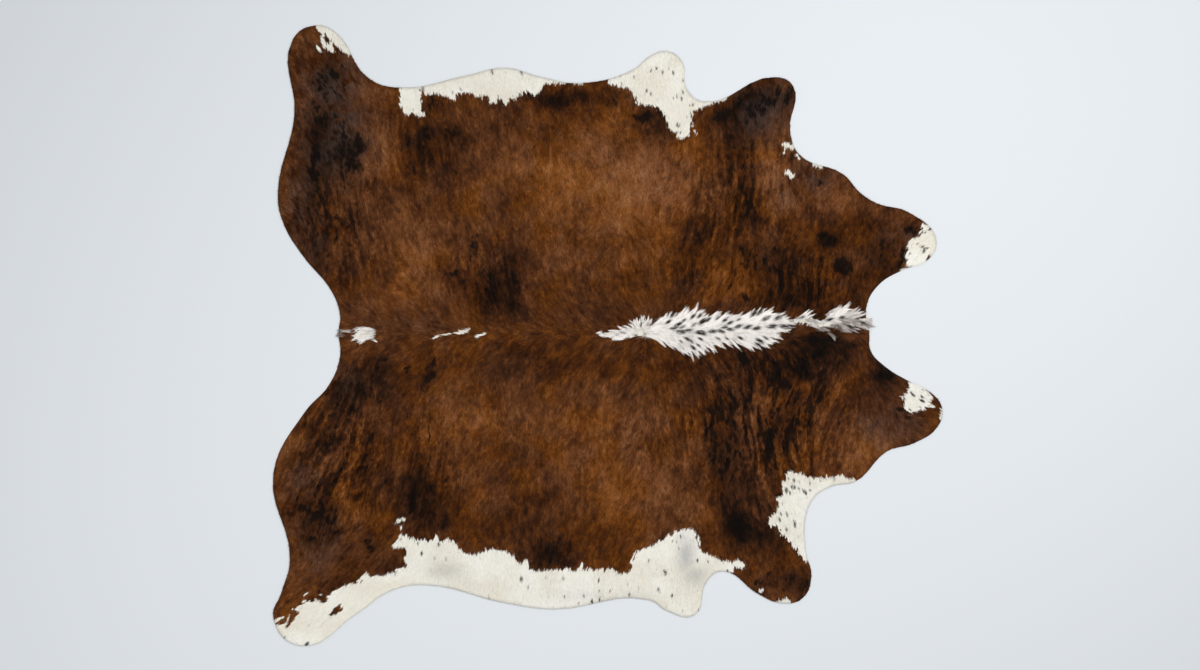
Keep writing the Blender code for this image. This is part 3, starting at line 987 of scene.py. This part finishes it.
def lay_locks(roots, chance):
    """The corners of each lock, and the place on the hide that it takes its colour from."""
    count = len(roots)
    sway = math.radians(LOCK_SWAY)
    step = turned(nap_at(roots), sway * (0.6 * speckle(roots, 0.010, 71) + 0.5 * chance.normal(size=count)))
    length = chance.uniform(*LOCK_LENGTH, count)
    room = read_map(ROOM, roots)
    room_at_tip = read_map(ROOM, roots + step * length[:, None])
    allowed = (room + OVERHANG * chance.uniform(0.0, 1.0, count)) / np.maximum(room - room_at_tip, MICRON)
    length *= np.where(room_at_tip < 0.0, np.clip(allowed, LOCK_SHORTEST, 1.0), 1.0)
    half = chance.uniform(*LOCK_WIDTH, count) / 2
    lift = chance.uniform(*LOCK_LIFT, count)
    side = turned(step, np.full(count, math.pi / 2))
    middle = roots + step * (LOCK_MIDDLE * length)[:, None]
    bend = LOCK_TIP_SWAY * length * chance.normal(size=count)
    tips = roots + step * length[:, None] + side * bend[:, None]
    places = (roots, middle - side * half[:, None], tips, middle + side * half[:, None])
    corners = np.zeros((count, 4, 3))
    for k, (place, share) in enumerate(zip(places, LOCK_RISE)):
        corners[:, k, :2] = place
        corners[:, k, 2] = rise_at(place) + LEATHER + share * lift
    roll = chance.normal(size=count) * LOCK_ROLL
    corners[:, 1, 2] += roll - LOCK_DROOP
    corners[:, 3, 2] -= roll + LOCK_DROOP
    return corners, roots + step * (LOCK_SHOWN * length)[:, None]


def colour_locks(corners, shown, chance):
    """The colour of each corner of each lock: painted shade at its root, its tip bleached lighter, and
    painted shadow at the cut edge.
    """
    colour, white = marks_at(shown)
    brightness = 1.0 + np.where(white, WHITE_SPREAD, BROWN_SPREAD) * chance.normal(size=len(shown))
    colour = colour * np.clip(brightness, 0.6, 1.5)[:, None]
    # painted shade at the root, less on white locks, and lighter bleached tips
    shade_and_bleach = LOCK_ROOT_SHADE_AND_TIP_BLEACH[None, :] ** np.where(white, 0.12, 1.0)[:, None]
    room = read_map(ROOM, corners[:, :, :2].reshape(-1, 2)).reshape(shade_and_bleach.shape)
    # painted shadow along the cut edge
    shade_and_bleach = shade_and_bleach * (1.0 - PAINTED_EDGE_SHADOW * smooth(1.0 - room / PAINTED_EDGE_SHADOW_REACH))
    return colour[:, None, :] * shade_and_bleach[:, :, None]


def make_coat():
    """All the locks of the coat, in six pieces: left and right of the spine, rump, barrel, shoulder."""
    chance = np.random.default_rng(102)
    roots = lock_roots()
    corners, shown = lay_locks(roots, chance)
    colours = colour_locks(corners, shown, chance)
    pieces = []
    for side, on_side in (("left", roots[:, 1] >= 0), ("right", roots[:, 1] < 0)):
        for part, start, end in COAT_PARTS:
            chosen = on_side & (roots[:, 0] >= start) & (roots[:, 0] < end)
            name = f"coat_{side}_{part}"
            mesh = mesh_of_blades(name, corners[chosen], LOCK_FACES, colours[chosen], LOCK_STRAND)
            pieces.append(new_piece(name, mesh, (HAIR,)))
    return pieces


# --- The long hair of the spine ---


def spine_rows(x):
    """The long hair's lowest y, highest y and fan in radians at places along the spine."""
    rows = np.array(SPINE_SPAN)
    low, high, fan = (np.interp(x, rows[:, 0], rows[:, k]) for k in (1, 2, 3))
    return low, high, np.radians(fan)


def spine_heading(points):
    """Which way the long hair lies: it fans out to the neck, and turns to the tail behind the whorl."""
    x, y = points.T
    low, high, fan = spine_rows(x)
    share = np.clip((2 * y - low - high) / (high - low), -1.0, 1.0)
    angle = fan * np.sign(share) * np.abs(share) ** 0.6
    front = np.stack([np.cos(angle), np.sin(angle)], axis=1)
    back = np.stack([-np.cos(angle), np.sin(angle)], axis=1)
    behind = smooth((0.105 - x) / 0.03)[:, None]
    away = points - SPINE_WHORL
    radius = np.linalg.norm(away, axis=1)[:, None] + MICRON
    near = np.exp(-((radius / SPINE_WHORL_RADIUS) ** 2))
    return unit_steps((front * (1 - behind) + back * behind) * (1 - near) + away / radius * near)


def tuft_roots(chance):
    """Roots of the tufts, so far in that their tips end at the long hair's edge, and fewer at the neck."""
    x, y = np.meshgrid(*(np.arange(*ends, TUFT_PITCH) for ends in TUFT_FIELD))
    points = np.stack([x.ravel(), y.ravel()], axis=1)
    points += chance.uniform(-0.5, 0.5, points.shape) * TUFT_PITCH
    low, high, fan = spine_rows(points[:, 0] + 0.6 * TUFT_LENGTH[0] * (points[:, 0] > 0.10))
    half = (high - low) / 2
    margin = np.minimum(0.80 * TUFT_LENGTH[0] * np.sin(fan), 0.75 * half)
    inside = np.abs(points[:, 1] - (low + high) / 2) < half - margin
    thinned = chance.uniform(size=len(points)) < 0.45 * smooth((points[:, 0] - 0.58) / 0.06)
    return points[inside & ~thinned]


def place_tufts(chance):
    """Each tuft's root, heading as a unit step, length and shade from 0, dark, to 1, white."""
    roots = tuft_roots(chance)
    count = len(roots)
    step = turned(spine_heading(roots), 0.16 * chance.normal(size=count))
    length = chance.uniform(*TUFT_LENGTH, count)
    length *= np.interp(roots[:, 0], (0.0, 0.10, 0.16), (0.60, 0.70, 1.0))
    low, high, _ = spine_rows(roots[:, 0])
    under = smooth((0.45 * low + 0.55 * high - roots[:, 1]) / 0.012)
    smoky = smooth((roots[:, 0] - 0.50) / 0.2) * (0.26 + 0.56 * under)
    shade = 1.0 - smoky * chance.uniform(0.2, 1.0, count)
    lone = np.array(LONE_TUFTS)
    heading = np.radians(lone[:, 2])
    roots = np.concatenate([roots, lone[:, :2]])
    step = np.concatenate([step, np.stack([np.cos(heading), np.sin(heading)], axis=1)])
    return roots, step, np.concatenate([length, lone[:, 3]]), np.concatenate([shade, lone[:, 4]])


def lay_hairs(roots, step, length, chance):
    """The corners of the hairs of all the tufts, each tuft drawn together to a point."""
    lift = chance.uniform(*TUFT_LIFT, len(roots))
    bow = TUFT_BOW * chance.normal(size=len(roots))
    tufts = (roots, step, length, lift, bow)
    roots, step, length, lift, bow = (np.repeat(value, TUFT_HAIRS, axis=0) for value in tufts)
    hairs = len(roots)
    side = turned(step, np.full(hairs, math.pi / 2))
    starts = roots + TUFT_SPREAD * chance.normal(size=(hairs, 2))
    tips = roots + step * (length * chance.uniform(0.72, 1.06, hairs))[:, None]
    tips += side * (TUFT_POINT * chance.normal(size=hairs))[:, None]
    bow = bow + HAIR_BOW * chance.normal(size=hairs)
    width = chance.uniform(*HAIR_WIDTH, hairs)
    lift = lift * chance.uniform(0.6, 1.1, hairs)

    corners = np.zeros((hairs, len(ALONG_HAIR), 3))
    for k, t in enumerate((*HAIR_RINGS, 1.0)):
        place = starts * (1 - t) + tips * t + side * (bow * math.sin(math.pi * t))[:, None]
        height = LEATHER + HAIR_CLEARANCE + lift * math.sin(math.pi * (0.10 + 0.72 * t))
        half = side * (width * (1 - 0.75 * t * t) / 2)[:, None]
        for sense, column in (((1, 2 * k), (-1, 2 * k + 1)) if t < 1.0 else ((0, 2 * k),)):
            corners[:, column, :2] = place + sense * half
            corners[:, column, 2] = rise_at(place) + height
    return corners


def colour_hairs(corners, shade, chance):
    """The colour of each corner of the hairs: white or smoky, with painted shade at the root, darker in the
    flecks.
    """
    hairs = len(corners)
    points = corners[:, :, :2].reshape(-1, 2)
    # painted shade, darkest at a hair's root
    root_shade = 1 - smooth(ALONG_HAIR / 0.4)
    brightness = 1.0 + 0.10 * chance.normal(size=hairs)[:, None] - 0.35 * root_shade[None]
    white = SPINE_WHITE * np.clip(brightness, 0.4, 1.06)[:, :, None]
    smoke = speckle(points, 0.016, 81).reshape(hairs, -1) * 0.20 + 1.0
    tint = np.clip(shade[:, None] * smoke, 0.0, 1.0)[:, :, None]
    colours = SMOKE + (white - SMOKE) * tint
    dark = flecks_at(points, SPINE_FLECKS, spine_heading, SPINE_FLECK_BREADTH).reshape(hairs, -1)
    dark = smooth(SPINE_FLECK_GAIN * dark * (1.0 + 0.45 * chance.normal(size=hairs)[:, None]))
    return colours + (FLECK_DARK - colours) * dark[:, :, None]


def make_spine_hair():
    """Tufts of long hair along the spine, with dark flecks across them."""
    chance = np.random.default_rng(103)
    roots, step, length, shade = place_tufts(chance)
    corners = lay_hairs(roots, step, length, chance)
    colours = colour_hairs(corners, np.repeat(shade, TUFT_HAIRS), chance)
    last = 2 * len(HAIR_RINGS)
    faces = [(k, k + 1, k + 3, k + 2) for k in range(0, last - 2, 2)] + [(last - 2, last - 1, last)]
    strand = [(float(k % 2), 2.0 * ALONG_HAIR[k]) for k in range(last)] + [(0.5, 2.0)]
    mesh = mesh_of_blades("spine_hair", corners, faces, colours, strand)
    return new_piece("spine_hair", mesh, (HAIR,))


# --- The studio ---

CAMERA_HEIGHT = 6.0
CAMERA_OVER = (-0.0255, 0.0016)
VIEW_WIDTH = 3.949          # of the floor, across the whole picture
SENSOR = 36.0
FLOOR_HALF = 8.0
FLOOR_COLOUR = (0.80, 0.83, 0.855, 1.0)
# Lamps: name, place, size in metres, power in watts
LAMPS = (("key", (1.9, 1.3, 4.6), 2.4, 144.0), ("fill", (-1.9, -1.4, 4.6), 2.2, 82.0))
SKY_COLOUR = (0.93, 0.96, 1.0, 1.0)
SKY_STRENGTH = 0.28


def make_floor():
    """A plain matt floor, far wider than the view."""
    shape = bmesh.new()
    bmesh.ops.create_grid(shape, x_segments=1, y_segments=1, size=FLOOR_HALF)
    mesh = bpy.data.meshes.new("floor")
    shape.to_mesh(mesh)
    shape.free()
    paper = Finish("floor", Base_Color=FLOOR_COLOUR, Roughness=0.9, Specular_IOR_Level=0.1)
    mesh.materials.append(paper.material)
    floor = bpy.data.objects.new("floor", mesh)
    bpy.context.scene.collection.objects.link(floor)


def make_lamp(name, place, size, power):
    """A round lamp that shines on the middle of the rug."""
    light = bpy.data.lights.new(name, "AREA")
    light.shape = "DISK"
    light.size = size
    light.energy = power
    lamp = bpy.data.objects.new(name, light)
    lamp.location = place
    lamp.rotation_euler = (-lamp.location).to_track_quat("-Z", "Y").to_euler()
    bpy.context.scene.collection.objects.link(lamp)


def make_studio():
    """A pale floor, two lamps, a soft sky and a camera straight above."""
    scene = bpy.context.scene
    make_floor()
    for lamp in LAMPS:
        make_lamp(*lamp)
    world = bpy.data.worlds.new("studio")
    world.use_nodes = True
    world.node_tree.nodes["Background"].inputs["Color"].default_value = SKY_COLOUR
    world.node_tree.nodes["Background"].inputs["Strength"].default_value = SKY_STRENGTH
    scene.world = world
    camera = bpy.data.cameras.new("camera")
    camera.sensor_width = SENSOR
    camera.lens = SENSOR * CAMERA_HEIGHT / VIEW_WIDTH
    eye = bpy.data.objects.new("camera", camera)
    eye.location = (*CAMERA_OVER, CAMERA_HEIGHT)
    scene.collection.objects.link(eye)
    scene.camera = eye
    scene.view_settings.view_transform = "Standard"


# --- The rug ---

HAIR = hair_finish()
make_studio()
hide = make_hide()
coat = make_coat() + [make_spine_hair()]
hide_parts(HIDE_NODE)
